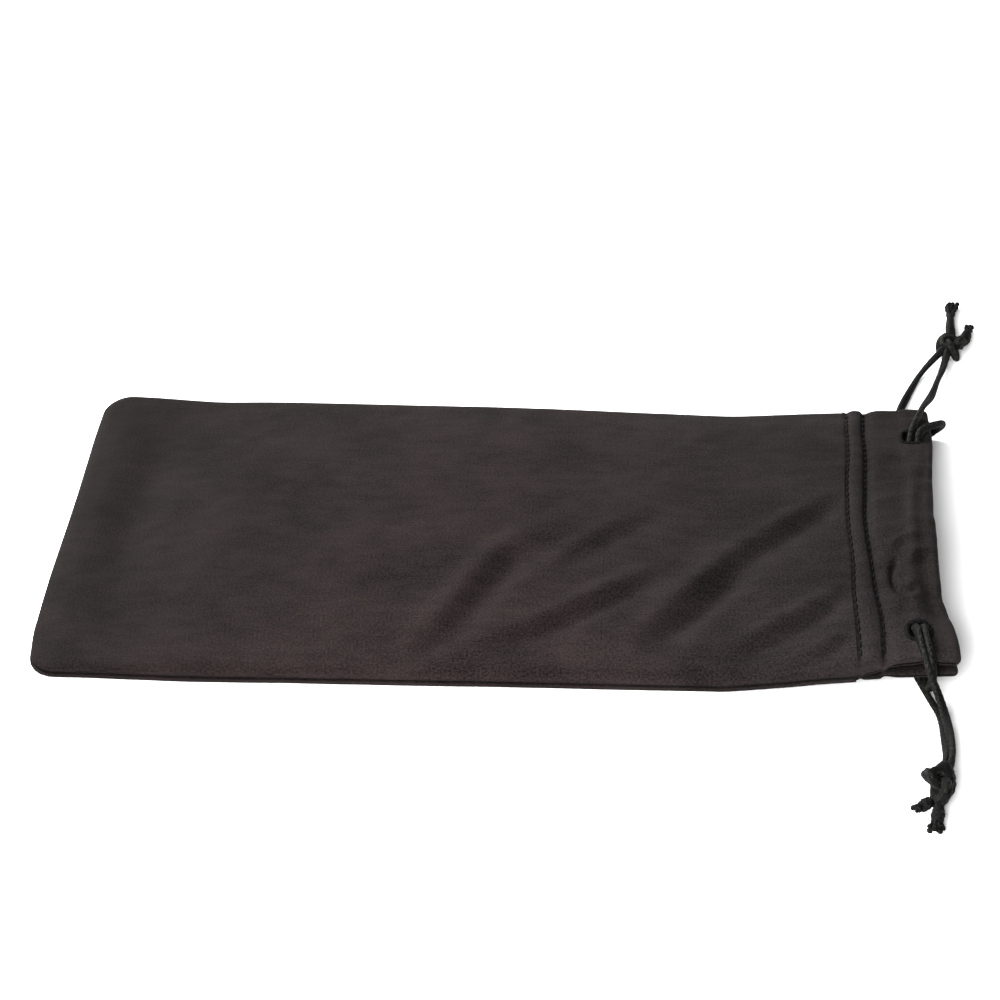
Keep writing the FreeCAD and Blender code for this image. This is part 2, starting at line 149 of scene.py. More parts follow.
def place(X, Y):
    """Where a point of the pattern lies on the table."""
    near_share = (HALF_WIDTH - Y) / (2 * HALF_WIDTH)
    x = X - MOUTH_SLANT * near_share * (X - LENGTH_END) / (MOUTH_EDGE - LENGTH_END)
    x = x + curve(END_BOW, Y) * np.clip((70 - X) / 160, 0, 1)
    mouth_share = np.clip((X - HEM_START) / (MOUTH_EDGE - HEM_START), 0, 1)
    bow = curve(BAND_BOW, Y) * (1 - mouth_share) + curve(MOUTH_BOW, Y) * mouth_share
    x = x + bow * smooth((X - 40) / (HEM_START - 40))
    y = Y + curve(FAR_EDGE, X) * (1 - near_share) + curve(NEAR_EDGE, X) * near_share
    return x, y


def lay(X, Y, z):
    """Points on the table for pattern places and heights."""
    return np.stack([*place(X, Y), z], axis=-1)


def front_top(X, Y):
    """Height of the front cloth without its folds."""
    v = np.clip(Y / HALF_WIDTH, -1, 1)
    share = (1 + v) / 2
    near = curve(NEAR_TOP, X)
    far = curve(FAR_TOP, X)
    crown = curve(MIDDLE_TOP, X) - (near + far) / 2
    return near * (1 - share) + far * share + crown * (1 - np.abs(v) ** 2.4)


def back_lift(X, Y):
    """Height of the back cloth's underside: it leaves the table at the two mouth corners."""
    v = np.clip(Y / HALF_WIDTH, -1, 1)
    near = curve(NEAR_LIFT, X) * np.abs(v) ** 2
    far = curve(FAR_LIFT, X) * np.abs(v) ** 1.5
    return np.where(v < 0, near, far)


# Folds of the front cloth: points of the steep flank, valley depth, crest height, half width.
# The crest is on the upper left of the flank and the valley on its lower right.
FOLDS = [
    ([(-18, -43), (-9, -29.5), (-4, -19.5), (1, -11), (8, -6.5), (16, -3)], 1.55, 0.75, 3.2),
    ([(-4, -38.5), (14, -28.5), (37, -13)], 1.12, 0.88, 2.3),
    ([(9, -17), (20, -5.5), (32, 4)], 0.68, 0.48, 2.6),
    ([(25, -39), (41, -20.5), (53, -4)], 1.88, 1.20, 3.0),
    ([(46, -13), (58, -1.5), (70, 9)], 1.42, 0.80, 2.6),
    ([(43, -41), (58, -31), (71, -22)], 1.35, 1.04, 2.3),
    ([(52, -45), (61, -41.5), (69, -36.5)], 1.45, 0.95, 1.9),
    ([(-69, 42), (-74, 8), (-75, -34)], 0.85, 0.20, 4.5),
]
# The same for the gathered cloth of the front hem.
HEM_FOLDS = [
    ([(75.5, -14.0), (79.0, -9.0), (84.5, -6.5)], 0.35, 0.35, 1.3),
    ([(79.5, -17.5), (82.5, -13.0), (86.5, -11.0)], 0.40, 0.35, 1.2),
    ([(75.0, -31.5), (78.5, -28.0), (84.5, -25.5)], 0.35, 0.35, 1.5),
    ([(80.0, 12.0), (83.5, 15.5), (87.0, 17.0)], 0.25, 0.20, 1.6),
    ([(76.5, 22.0), (80.5, 24.5), (85.5, 24.0)], 0.35, 0.20, 1.8),
]


def near_line(points, x, y):
    """Distance to a line of points, the side it is on and the share of the way along."""
    points = np.array(points, float)
    runs = np.linalg.norm(np.diff(points, axis=0), axis=1)
    starts = lengths_along(points)
    best = np.full(x.shape, 1e9)
    side = np.zeros(x.shape)
    share = np.zeros(x.shape)
    for number, run in enumerate(runs):
        a = points[number]
        along = (points[number + 1] - a) / run
        t = np.clip((x - a[0]) * along[0] + (y - a[1]) * along[1], 0, run)
        dx = x - a[0] - along[0] * t
        dy = y - a[1] - along[1] * t
        distance = np.hypot(dx, dy)
        closer = distance < best
        best = np.where(closer, distance, best)
        side = np.where(closer, np.sign(along[0] * dy - along[1] * dx), side)
        share = np.where(closer, (starts[number] + t) / starts[-1], share)
    return best, side, share


def folds(x, y, lines):
    """Relief of all folds, each fading out at both ends."""
    height = np.zeros(x.shape)
    for points, depth, crest, width in lines:
        distance, side, share = near_line(points, x, y)
        fade = np.sin(np.pi * np.clip(share, 0, 1))
        signed = distance * side / width
        height -= depth * fade * np.exp(-((signed + 0.75) / 1.1) ** 2)
        height += crest * fade * np.exp(-((signed - 0.9) / 0.9) ** 2)
    return height


def make_waves(count, longest, shortest):
    """Seeded gentle unevenness: directions, phases and sizes of its waves."""
    lengths = np.exp(rng.uniform(math.log(shortest), math.log(longest), count))
    angles = rng.uniform(0, 2 * math.pi, count)
    phases = rng.uniform(0, 2 * math.pi, count)
    return lengths, angles, phases


def uneven(waves, x, y):
    total = np.zeros(np.shape(x))
    for length, angle, phase in zip(*waves):
        turn = 2 * math.pi / length
        total = total + np.sin(turn * (x * math.cos(angle) + y * math.sin(angle)) + phase)
    return total / math.sqrt(len(waves[0]))


BROAD = make_waves(14, 60, 22)
FINE = make_waves(30, 14, 5)
PUCKER = make_waves(16, 11, 4)
BACKING = make_waves(20, 40, 12)


def front_relief(X, Y):
    """Folds, softness and puckers of the front cloth above its plain form."""
    x, y = place(X, Y)
    relief = folds(x, y, FOLDS) * smooth((HEM_START - X) / 5 + 0.15)
    relief += 0.22 * uneven(BROAD, x, y) + 0.05 * uneven(FINE, x, y)
    gather = np.exp(-np.abs(X - HEM_START) / 6)
    return relief + 0.16 * gather * uneven(PUCKER, x * 0.15, y)


# ---- mesh helpers ----


def grid_normals(points):
    along = np.gradient(points, axis=0)
    across = np.gradient(points, axis=1)
    normals = np.cross(along, across)
    return normals / np.maximum(np.linalg.norm(normals, axis=2, keepdims=True), 1e-9)


def grid_faces(rows, columns, first=0, flip=False):
    index = first + np.arange(rows * columns).reshape(rows, columns)
    quads = np.stack([index[:-1, :-1], index[1:, :-1], index[1:, 1:], index[:-1, 1:]], axis=-1)
    quads = quads.reshape(-1, 4)
    return quads[:, ::-1] if flip else quads


def halves(middle, columns):
    """The near and the far half of a grid; both keep the middle column."""
    return ("near", slice(0, middle + 1)), ("far", slice(middle, columns))


def part_box(name):
    """Low and high corner of a CAD part, in millimetres."""
    return [np.array(corner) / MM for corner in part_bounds(name)]


def make_mesh(name, vertices, faces, material, pattern, loop_normals=None):
    """Object with millimetre vertices; pattern is each vertex's place on the flat cloth."""
    mesh = bpy.data.meshes.new(name)
    mesh.from_pydata((np.asarray(vertices) * MM).tolist(), [], [list(face) for face in faces])
    mesh.polygons.foreach_set("use_smooth", np.ones(len(mesh.polygons), bool))
    flat = mesh.attributes.new("pattern", "FLOAT_VECTOR", "POINT")
    flat.data.foreach_set("vector", np.asarray(pattern, np.float32).ravel())
    if loop_normals is not None:
        mesh.normals_split_custom_set(loop_normals.tolist())
    mesh.materials.append(material)
    obj = bpy.data.objects.new(name, mesh)
    bpy.context.scene.collection.objects.link(obj)
    return obj


def make_shell(name, points, normals, thickness, pattern, flip=False):
    """Closed thin shell below a grid of points; its rim faces get no custom normals."""
    rows, columns = points.shape[:2]
    count = rows * columns
    outward = -normals if flip else normals
    inner = points - outward * thickness
    vertices = np.concatenate([points.reshape(-1, 3), inner.reshape(-1, 3)])
    index = np.arange(count).reshape(rows, columns)
    border = np.concatenate([index[:-1, 0], index[-1, :-1], index[:0:-1, -1], index[0, :0:-1]])
    following = np.roll(border, -1)
    rim = np.stack([border, border + count, following + count, following], axis=-1)
    faces = np.concatenate([grid_faces(rows, columns, 0, flip),
                            grid_faces(rows, columns, count, not flip),
                            rim[:, ::-1] if flip else rim])
    lit = np.concatenate([outward.reshape(-1, 3), -outward.reshape(-1, 3)])
    loops = lit[faces.ravel()]
    loops[-4 * len(rim):] = 0
    flat = np.concatenate([pattern.reshape(-1, 3), pattern.reshape(-1, 3) + (0, 0, 7)])
    return make_mesh(name, vertices, faces, MICROFIBRE, flat, loops)


def pattern_of(points):
    """Lengths along the cloth both ways, measured on its surface."""
    along = np.linalg.norm(np.diff(points, axis=0, prepend=points[:1]), axis=2)
    across = np.linalg.norm(np.diff(points, axis=1, prepend=points[:, :1]), axis=2)
    middle = points.shape[1] // 2
    s = np.cumsum(along[:, middle])[:, None] + np.zeros(points.shape[:2])
    t = np.cumsum(across, axis=1)
    t = t - t[:, middle:middle + 1]
    return np.stack([s, t, np.zeros_like(s)], axis=-1)


# ---- materials ----


CLOTH_DARK = (0.0008, 0.0005, 0.0005, 1.0)
CLOTH_WARM = (0.0146, 0.0102, 0.0099, 1.0)  # lit nap at the bottom end
CLOTH_COOL = (0.0140, 0.0109, 0.0111, 1.0)  # the same at the mouth
CORD_DARK = (0.0010, 0.0011, 0.0010, 1.0)
CORD_LIGHT = (0.0125, 0.0128, 0.0110, 1.0)
THREAD_DARK = (0.0009, 0.0008, 0.0008, 1.0)
THREAD_LIGHT = (0.0036, 0.0032, 0.0033, 1.0)


class Nodes:
    """Short way to build one material's node tree."""

    def __init__(self, name):
        self.material = bpy.data.materials.new(name)
        self.material.use_nodes = True
        self.tree = self.material.node_tree
        self.shader = self.tree.nodes["Principled BSDF"]

    def add(self, kind, inputs=None, **settings):
        node = self.tree.nodes.new(f"ShaderNode{kind}")
        for key, value in settings.items():
            setattr(node, key, value)
        for key, value in (inputs or {}).items():
            self.put(node.inputs[key], value)
        return node

    def put(self, socket, value):
        """Link an output to a socket, or give the socket a fixed value."""
        if isinstance(value, bpy.types.NodeSocket):
            self.tree.links.new(value, socket)
        else:
            socket.default_value = value

    def noise(self, vector, scale, detail=3.0, roughness=0.55):
        return self.add("TexNoise", {"Vector": vector, "Scale": scale, "Detail": detail,
                                     "Roughness": roughness}).outputs["Fac"]

    def mix(self, factor, first, second):
        node = self.add("Mix", data_type="RGBA")
        for socket, value in ((0, factor), (6, first), (7, second)):
            self.put(node.inputs[socket], value)
        return node.outputs[2]

    def spread(self, value, low, high, to_low=0.0, to_high=1.0):
        return self.add("MapRange", {"Value": value, "From Min": low, "From Max": high,
                                     "To Min": to_low, "To Max": to_high}).outputs["Result"]

    def math(self, operation, first, second):
        return self.add("Math", {0: first, 1: second}, operation=operation).outputs[0]

    def wave(self, vector, direction, scale, distortion, detail, detail_scale=1.0):
        return self.add("TexWave", {"Vector": vector, "Scale": scale, "Distortion": distortion,
                                    "Detail": detail, "Detail Scale": detail_scale},
                        bands_direction=direction).outputs["Fac"]

    def set(self, name, value):
        self.put(self.shader.inputs[name], value)

    def bump(self, height, strength, distance):
        node = self.add("Bump", {"Height": height, "Strength": strength, "Distance": distance})
        self.set("Normal", node.outputs["Normal"])


def pattern_place(nodes):
    return nodes.add("Attribute", attribute_name="pattern").outputs["Vector"]


def scaled(nodes, vector, factors):
    return nodes.add("Mapping", {"Vector": vector, "Scale": factors}).outputs["Vector"]


def make_microfibre():
    """Matt knitted cloth: fine grain, brushed nap and uneven mottle, with painted shade darkening it
    towards the bottom end and the mouth, and painted light along the near edge.
    """
    nodes = Nodes("microfibre")
    flat = pattern_place(nodes)
    grain = nodes.noise(flat, 2.2, 4.0, 0.65)
    ribs = nodes.wave(flat, "Y", 0.55, 1.6, 2.0, 2.5)
    courses = nodes.wave(flat, "X", 0.4, 1.2, 2.0, 2.0)
    mottle = nodes.noise(scaled(nodes, flat, (0.9, 1.2, 1.0)), 0.05, 3.0)
    nap = nodes.noise(scaled(nodes, flat, (0.35, 1.0, 1.0)), 0.45, 3.0)
    fine = nodes.spread(grain, 0.385, 0.615, 0.0, 0.60)
    tone = nodes.math("ADD", fine, nodes.spread(nap, 0.36, 0.64, 0.0, 0.15))
    tone = nodes.math("ADD", tone, nodes.spread(mottle, 0.36, 0.64, 0.0, 0.25))
    places = nodes.add("SeparateXYZ", {"Vector": flat})
    along = places.outputs["X"]
    light = nodes.mix(nodes.spread(along, 100, 165), CLOTH_WARM, CLOTH_COOL)
    # Painted shade and light: half as bright at the bottom end, down to 0.86 towards the mouth, and up to
    # a quarter brighter along the near edge.
    for painted_light_and_shade in (nodes.spread(along, 0, 75, 0.50, 1.0), nodes.spread(along, 105, 150, 1.0, 0.86),
                 nodes.spread(places.outputs["Y"], -44, -20, 1.25, 1.0)):
        tone = nodes.math("MULTIPLY", tone, painted_light_and_shade)
    nodes.set("Base Color", nodes.mix(tone, CLOTH_DARK, light))
    nodes.set("Roughness", nodes.spread(grain, 0.2, 0.8, 0.78, 0.95))
    weave = nodes.math("ADD", nodes.math("MULTIPLY", ribs, 0.16), nodes.math("MULTIPLY", courses, 0.10))
    nodes.bump(nodes.math("ADD", weave, grain), 0.7, 0.00011)
    nodes.set("Specular IOR Level", 0.04)
    nodes.set("Sheen Weight", 0.004)
    nodes.set("Sheen Roughness", 0.45)
    return nodes.material


def make_braid():
    nodes = Nodes("braided_cord")
    flat = pattern_place(nodes)
    strand = nodes.noise(scaled(nodes, flat, (0.8, 2.0, 0.1)), 2.4, 3.0)
    # Painted shade: the braid is darker where its surface lies below the cord's full radius, which darkens
    # the grooves between strands and the thin yarns.
    raised = nodes.add("SeparateXYZ", {"Vector": flat}).outputs["Z"]
    tone = nodes.math("MULTIPLY", nodes.spread(strand, 0.42, 0.68), nodes.spread(raised, 0.88, 1.02))
    nodes.set("Base Color", nodes.mix(tone, CORD_DARK, CORD_LIGHT))
    nodes.set("Roughness", nodes.spread(strand, 0.2, 0.8, 0.80, 0.60))
    nodes.bump(strand, 0.6, 0.0001)
    nodes.set("Specular IOR Level", 0.05)
    return nodes.material


def make_thread():
    nodes = Nodes("sewing_thread")
    flat = pattern_place(nodes)
    twist = nodes.wave(flat, "DIAGONAL", 0.8, 0.6, 1.0)
    nodes.set("Base Color", nodes.mix(twist, THREAD_DARK, THREAD_LIGHT))
    nodes.set("Specular IOR Level", 0.03)
    nodes.set("Roughness", nodes.spread(twist, 0.0, 1.0, 0.7, 0.5))
    nodes.bump(twist, 0.5, 0.00006)
    return nodes.material


def make_floor_material():
    nodes = Nodes("pale_floor")
    nodes.set("Base Color", (0.9, 0.9, 0.9, 1.0))
    nodes.set("Roughness", 1.0)
    nodes.set("Specular IOR Level", 0.0)
    return nodes.material


MICROFIBRE = make_microfibre()
BRAID = make_braid()
THREAD = make_thread()


# ---- the two mouth corners, and baked placement ----

CORNERS = {"near": -1, "far": 1}


def follow_corner(piece):
    """Bake a piece's placement into its mesh."""
    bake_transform(piece)


# ---- panels ----

ROLL_ANGLES = np.radians([-40, -20, 0, 9, 18, 28, 38, 50, 62, 76, 90])
BACK_CLOTH = 0.7
SEAM_GAP = 0.2  # shadow gap between the front cloth's rolled edge and the back cloth
BELLY = 0.8  # height of the rolled edge's widest place above its foot
BACK_MARGIN = 0.25  # how far the back cloth's edge stands out
FRONT_STEP = 0.7  # spacing of a panel's grid
BACK_STEP = 1.2


def panel_pattern(angles, margin, step):
    """Pattern places of a panel's grid, how far each is rolled under, and its middle column."""
    offsets = EDGE_ROLL * (1 - np.cos(angles))
    under = np.sin(np.clip(-angles, 0, None)) / math.sin(-ROLL_ANGLES[0])
    end = LENGTH_END - margin
    inner = np.linspace(LENGTH_END + EDGE_ROLL, HEM_START, int((HEM_START - LENGTH_END) / step))
    xs = np.concatenate([end + offsets, inner[1:]])
    under_x = np.concatenate([under, np.zeros(len(inner) - 1)])
    sides = []
    for corner in (NEAR_CORNER, FAR_CORNER):
        depth = np.where(under_x > 0, 0, np.clip(xs - end, 0, corner))
        half = HALF_WIDTH + margin - corner + np.sqrt(corner ** 2 - (corner - depth) ** 2)
        count = int(HALF_WIDTH / step)
        share = np.linspace(1, 0, count)[1:]
        rolled = half[:, None] - offsets
        sides.append(np.concatenate([rolled, (half[:, None] - EDGE_ROLL) * share], axis=1))
    Y = np.concatenate([-sides[0], sides[1][:, -2::-1]], axis=1)
    under_y = np.concatenate([under, np.zeros(2 * count - 3), under[::-1]])
    X = np.repeat(xs[:, None], Y.shape[1], axis=1)
    middle = sides[0].shape[1] - 1
    return X, Y, np.maximum(under_x[:, None], under_y[None, :]), middle


def inward(X, Y):
    """Distance from the outline's sewn edges."""
    dx = X - LENGTH_END
    dy = HALF_WIDTH - np.abs(Y)
    corner = np.where(Y < 0, NEAR_CORNER, FAR_CORNER)
    rounded = corner - np.hypot(corner - dx, corner - dy)
    return np.where((dx < corner) & (dy < corner), rounded, np.minimum(dx, dy))


def front_height(X, Y, under):
    edge = inward(X, Y)
    depth = np.clip(edge, 0, EDGE_ROLL) / EDGE_ROLL
    rise = np.sqrt(np.clip(1 - (1 - depth) ** 2, 0, 1))
    foot = back_lift(X, Y) + BACK_CLOTH + SEAM_GAP
    belly = foot + BELLY
    top = front_top(X, Y) + front_relief(X, Y) * smooth(edge / 9 + 0.1)
    return np.where(under > 0, belly - BELLY * under, belly + (top - belly) * rise)


def back_height(X, Y, _):
    edge = inward(X, Y)
    x, y = place(X, Y)
    soft = 0.05 + 0.05 * uneven(BACKING, x, y)
    return back_lift(X, Y) + np.clip(soft, 0, None) + 0.25 * smooth(1 - edge / 1.2)


def make_panel(name, angles, margin, step, height, thickness, flip):
    X, Y, under, middle = panel_pattern(angles, margin, step)
    points = lay(X, Y, height(X, Y, under))
    normals = grid_normals(points)
    pattern = pattern_of(points)
    for side, part in halves(middle, points.shape[1]):
        piece = make_shell(f"{name}_{side}", points[:, part], normals[:, part], thickness,
                           pattern[:, part], flip)
        follow_corner(piece)
        if side == "near":
            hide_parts(name)


# ---- hems ----

STITCH_PITCH = 2.2
BAND_THICK = 1.0
HEM_END_ROLL = 1.7
HOLE_X = {"near": 82.9, "far": 85.3}
HOLE_Y = {"near": -37.0, "far": 31.6}
HOLE_HALF = (1.8, 2.3)
HOLE_STITCHES = 46
LANE_CROSSING = 2.3  # place across the pouch where the drawstrings cross inside the hems
NOSE = 1.35  # the mouth edge's fold starts this far before the edge
NOSE_ANGLES = np.radians(np.linspace(0, 180, 13))[1:-1]
SEAM_OPENS, SEAM_OPENING = 74.0, 5  # where the side seam lets go of the hems, and over what length
HEM_ROWS = 64
HEM_COLUMN = 0.36
STITCH_HALF = 0.95
FRONT_CHANNEL = (2.5, 2.1)  # height of the open channel at the near and the far side
BACK_CHANNEL = (1.95, 1.85)
CROSSING_SWELL = 1.4
CURL_X, CURL_Y, CURL_RADIUS = 82.3, -20.3, 2.3  # hook-shaped crease in the front hem
TURNED_Y = -26  # place across the pouch where the front mouth edge dips most
SECOND_ROW_DRIFT = [(-45, 1.0), (-28, 1.2), (2, 0.35), (19, 0.4), (45, 0.5)]


def row_place(row, Y):
    """A stitch row wanders a little."""
    drift = curve(SECOND_ROW_DRIFT, Y) if row == SECOND_ROW else 0.0
    return row + drift + 0.14 * np.sin(Y / 7.0 + row) + 0.08 * np.sin(Y / 3.1 + 2 * row)


def needle_places(row):
    """Shift of a row's needle holes from the even pitch."""
    return 0.0 if row == FIRST_ROW else 0.8


def stitch_relief(X, Y):
    """Grooves that the two stitch rows pull into the cloth, and the band raised between them."""
    relief = 0.30 * np.exp(-((X - (row_place(FIRST_ROW, Y) + row_place(SECOND_ROW, Y)) / 2) / 1.2) ** 2)
    for row, depth, right in ((FIRST_ROW, 0.40, 0.55), (SECOND_ROW, 0.68, 1.5)):
        across = X - row_place(row, Y)
        across = across / np.where(across < 0, 0.45, right)
        needle = (0.5 - 0.5 * np.cos(2 * math.pi * (Y - needle_places(row)) / STITCH_PITCH)) ** 3
        relief = relief - (depth + 0.2 * needle) * np.exp(-across ** 2)
    return relief


def lane(side, Y):
    """Place along the pouch of one drawstring inside the hems."""
    if side == "near":
        return np.interp(Y, (-29, -18, 2, 12, 29), (82.9, 83.7, 85.7, 86.2, 87.0))
    return np.interp(Y, (-33, -18, 2, 27), (84.4, 84.9, 85.7, 84.7))


def crossing(Y):
    return np.exp(-((Y - LANE_CROSSING) / 10) ** 2)


def hem_thickness(X, Y, near, far):
    full = near + (far - near) * smooth((Y + HALF_WIDTH) / (2 * HALF_WIDTH)) + CROSSING_SWELL * crossing(Y)
    return BAND_THICK + (full - BAND_THICK) * smooth((X - 75.7) / 2.8)


def side_seam(X, Y):
    """Extra depth of the front hem where the side seams still hold it to the back one."""
    gap = front_top(X, Y) - back_lift(X, Y) - 2 * BAND_THICK - SEAM_GAP
    held = 1 - smooth((X - SEAM_OPENS) / SEAM_OPENING)
    return np.clip(gap, 0, None) * held * smooth((np.abs(Y) - 39) / 4.5)


def front_thickness(X, Y):
    return np.maximum(hem_thickness(X, Y, *FRONT_CHANNEL), BAND_THICK + side_seam(X, Y))


def back_thickness(X, Y):
    return hem_thickness(X, Y, *BACK_CHANNEL)


def front_hem_face(X, Y):
    """Outer height of the front hem."""
    x, y = place(X, Y)
    channel = smooth((X - 76.2) / 2.2)
    ridges = sum(np.exp(-((X - lane(side, Y)) / 1.3) ** 2) for side in CORNERS)
    soft = 0.20 * uneven(PUCKER, x * 0.3, y) + 0.30 * ridges + 0.55 * crossing(Y)
    curl = np.hypot(X - CURL_X, (Y - CURL_Y) / 2.3)
    hook = np.maximum(smooth((81.6 - X) / 1.2 + 0.3) * smooth((-16 - Y) / 3 + 1), smooth((-22 - Y) / 3))
    crease = -1.0 * np.exp(-((curl - CURL_RADIUS) / 0.75) ** 2) * hook + folds(x, y, HEM_FOLDS)
    turned = -1.8 * smooth((X - 83.0) / 4.5) * np.exp(-((Y - TURNED_Y) / 9) ** 2)
    hollow = -0.5 * np.exp(-(((X - HOLE_X["near"]) / 4.5) ** 2 + ((Y - HOLE_Y["near"]) / 5) ** 2))
    relief = stitch_relief(X, Y) + channel * (soft + crease + turned + hollow)
    return front_top(X, Y) + front_relief(X, Y) + relief


def back_hem_face(X, Y):
    """Outer, lower height of the back hem."""
    x, y = place(X, Y)
    soft = 0.08 + 0.06 * uneven(BACKING, x, y)
    return back_lift(X, Y) + np.clip(soft, 0, None) - np.clip(stitch_relief(X, Y), None, 0) * 0.8


def hem_columns(step):
    angles = ROLL_ANGLES[ROLL_ANGLES >= 0]
    offsets = HEM_END_ROLL * (1 - np.cos(angles)) + 0.004
    half = HALF_WIDTH - HEM_END_ROLL
    inner = np.linspace(half, 0, int(half / step))[1:]
    side = np.concatenate([HALF_WIDTH - offsets, inner])
    return np.concatenate([-side, side[-2::-1]]), len(side) - 1


def hole_level(X, Y, side):
    return np.abs((X - HOLE_X[side]) / HOLE_HALF[0]) ** 3 + np.abs((Y - HOLE_Y[side]) / HOLE_HALF[1]) ** 3


def open_holes(X, Y, wall_rows):
    """Mask of the grid's faces inside the two buttonholes; their rims are moved onto the outline."""
    gone = np.zeros((X.shape[0] - 1, X.shape[1] - 1), bool)
    for side in CORNERS:
        level = hole_level(X, Y, side)
        inside = (level < 1) & wall_rows[:, None]
        cells = inside[:-1, :-1] & inside[1:, :-1] & inside[:-1, 1:] & inside[1:, 1:]
        gone |= cells
        touched = np.zeros(X.shape, int)
        for di in (0, 1):
            for dj in (0, 1):
                touched[di:di + cells.shape[0], dj:dj + cells.shape[1]] += cells
        rim = (touched > 0) & (touched < 4)
        scale = level[rim] ** (-1 / 3)
        X[rim] = HOLE_X[side] + (X[rim] - HOLE_X[side]) * scale
        Y[rim] = HOLE_Y[side] + (Y[rim] - HOLE_Y[side]) * scale
    return gone


def hem_sections(face, thickness, up, wall):
    """Pattern places and heights of a hem's outer skin and of the channel's inner skin."""
    nose = MOUTH_EDGE - NOSE
    xs = np.linspace(HEM_START, nose, HEM_ROWS)
    columns, middle = hem_columns(HEM_COLUMN)
    flat = np.repeat(xs[:, None], len(columns), axis=1)
    rows = len(xs) * 2 + len(NOSE_ANGLES)
    X = np.concatenate([flat, np.full((len(NOSE_ANGLES), len(columns)), nose), flat[::-1]])
    Y = np.repeat(columns[None, :], rows, axis=0).copy()
    outer_side = np.arange(rows) < len(xs)
    gone = open_holes(X, Y, outer_side & (X[:, 0] > 78))
    thick = thickness(X, Y)
    middle_height = face(X, Y) - up * thick / 2
    angle = np.concatenate([np.zeros(len(xs)), NOSE_ANGLES, np.full(len(xs), math.pi)])[:, None]
    end = np.clip(HALF_WIDTH - np.abs(Y), 0, None)
    skins = []
    sewn = (1 - smooth((X - SEAM_OPENS) / SEAM_OPENING)) * (0.8 if up > 0 else 0.0)
    for inset in (0.0, wall):
        roll = np.sqrt(np.clip(1 - (1 - np.clip((end - inset) / HEM_END_ROLL, 0.003, 1)) ** 2, 0, 1))
        full = np.clip(thick / 2 - inset, 0.02, None)
        half = full * roll
        if inset:
            half = half * smooth((X - CHANNEL_START) / 1.6) + 0.01
        z = middle_height + up * (half * np.cos(angle) - (full - half) * sewn)
        skins.append((X + half * np.sin(angle), Y, z))
    first_inner = int(np.argmax(xs > CHANNEL_START))
    return skins, gone, first_inner, middle


def hem_faces(gone, rows, columns, first_inner, split_start, split_end):
    """Faces of one half hem: outer skin, inner skin, rims, caps."""
    outer = np.arange(rows * columns).reshape(rows, columns)
    inner = outer + rows * columns
    skin = []
    rim = []
    last_inner = rows - 1 - first_inner
    for i in range(rows - 1):
        for j in range(columns - 1):
            if not gone[i, j]:
                skin.append((outer[i, j], outer[i + 1, j], outer[i + 1, j + 1], outer[i, j + 1]))
                if first_inner <= i < last_inner:
                    skin.append((inner[i, j], inner[i, j + 1], inner[i + 1, j + 1], inner[i + 1, j]))
                continue
            for di, dj, a, b in ((-1, 0, (i, j), (i, j + 1)), (1, 0, (i + 1, j + 1), (i + 1, j)),
                                 (0, -1, (i + 1, j), (i, j)), (0, 1, (i, j + 1), (i + 1, j + 1))):
                if not gone[i + di, j + dj]:
                    rim.append((outer[a], outer[b], inner[b], inner[a]))
    for j in range(columns - 1):
        rim.append((outer[-1, j], outer[0, j], outer[0, j + 1], outer[-1, j + 1]))
        rim.append((inner[last_inner, j + 1], inner[first_inner, j + 1],
                    inner[first_inner, j], inner[last_inner, j]))
    for j, is_split, turn in ((0, split_start, False), (columns - 1, split_end, True)):
        cap = []
        if is_split:
            for i in range(first_inner, last_inner):
                cap.append((outer[i, j], inner[i, j], inner[i + 1, j], outer[i + 1, j]))
            cap.append((outer[last_inner, j], inner[last_inner, j],
                        inner[first_inner, j], outer[first_inner, j]))
        else:
            for i in range(rows // 2 - 1):
                under = rows - 1 - i
                cap.append((outer[i + 1, j], outer[under - 1, j], outer[under, j], outer[i, j]))
                if i >= first_inner:
                    cap.append((inner[i, j], inner[under, j], inner[under - 1, j], inner[i + 1, j]))
        rim += [face[::-1] for face in cap] if turn else cap
    return skin, rim


def make_hem(name, face, thickness, up):
    skins, gone, first_inner, middle = hem_sections(face, thickness, up, HEM_WALL)
    grids = [lay(X, Y, z) for X, Y, z in skins]
    normals = grid_normals(grids[0]) * (1 if up > 0 else -1)
    inner_normals = -grid_normals(grids[1]) * (1 if up > 0 else -1)
    pattern = pattern_of(grids[0]) + (HEM_START - LENGTH_END, 0, 0)
    columns = grids[0].shape[1]
    for side, part in halves(middle, columns):
        size = (grids[0].shape[0], len(range(columns)[part]))
        cells = gone[:, part.start:part.stop - 1]
        skin, rim = hem_faces(cells, *size, first_inner, side == "far", side == "near")
        faces = np.array(skin + rim)
        if up < 0:
            faces = faces[:, ::-1]
        lit = np.concatenate([normals[:, part].reshape(-1, 3), inner_normals[:, part].reshape(-1, 3)])
        vertices = np.concatenate([grid[:, part].reshape(-1, 3) for grid in grids])
        loops = lit[faces.ravel()]
        loops[-4 * len(rim):] = 0
        flat = pattern[:, part].reshape(-1, 3)
        flat = np.concatenate([flat, flat + (0, 0, 7)])
        used = np.unique(faces)
        remap = np.zeros(len(vertices), int)
        remap[used] = np.arange(len(used))
        piece = make_mesh(f"{name}_{side}", vertices[used], remap[faces], MICROFIBRE, flat[used], loops)
        follow_corner(piece)
        if side == "near":
            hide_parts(name)


# ---- threads and cords ----

STITCH_RADIUS = 0.17
EDGING_RADIUS = 0.2
SEAM_STITCH_RADIUS = 0.15
SEAM_STITCH = 1.7  # length of one stitch of the hidden seams
BRAID_PITCH = 2.3


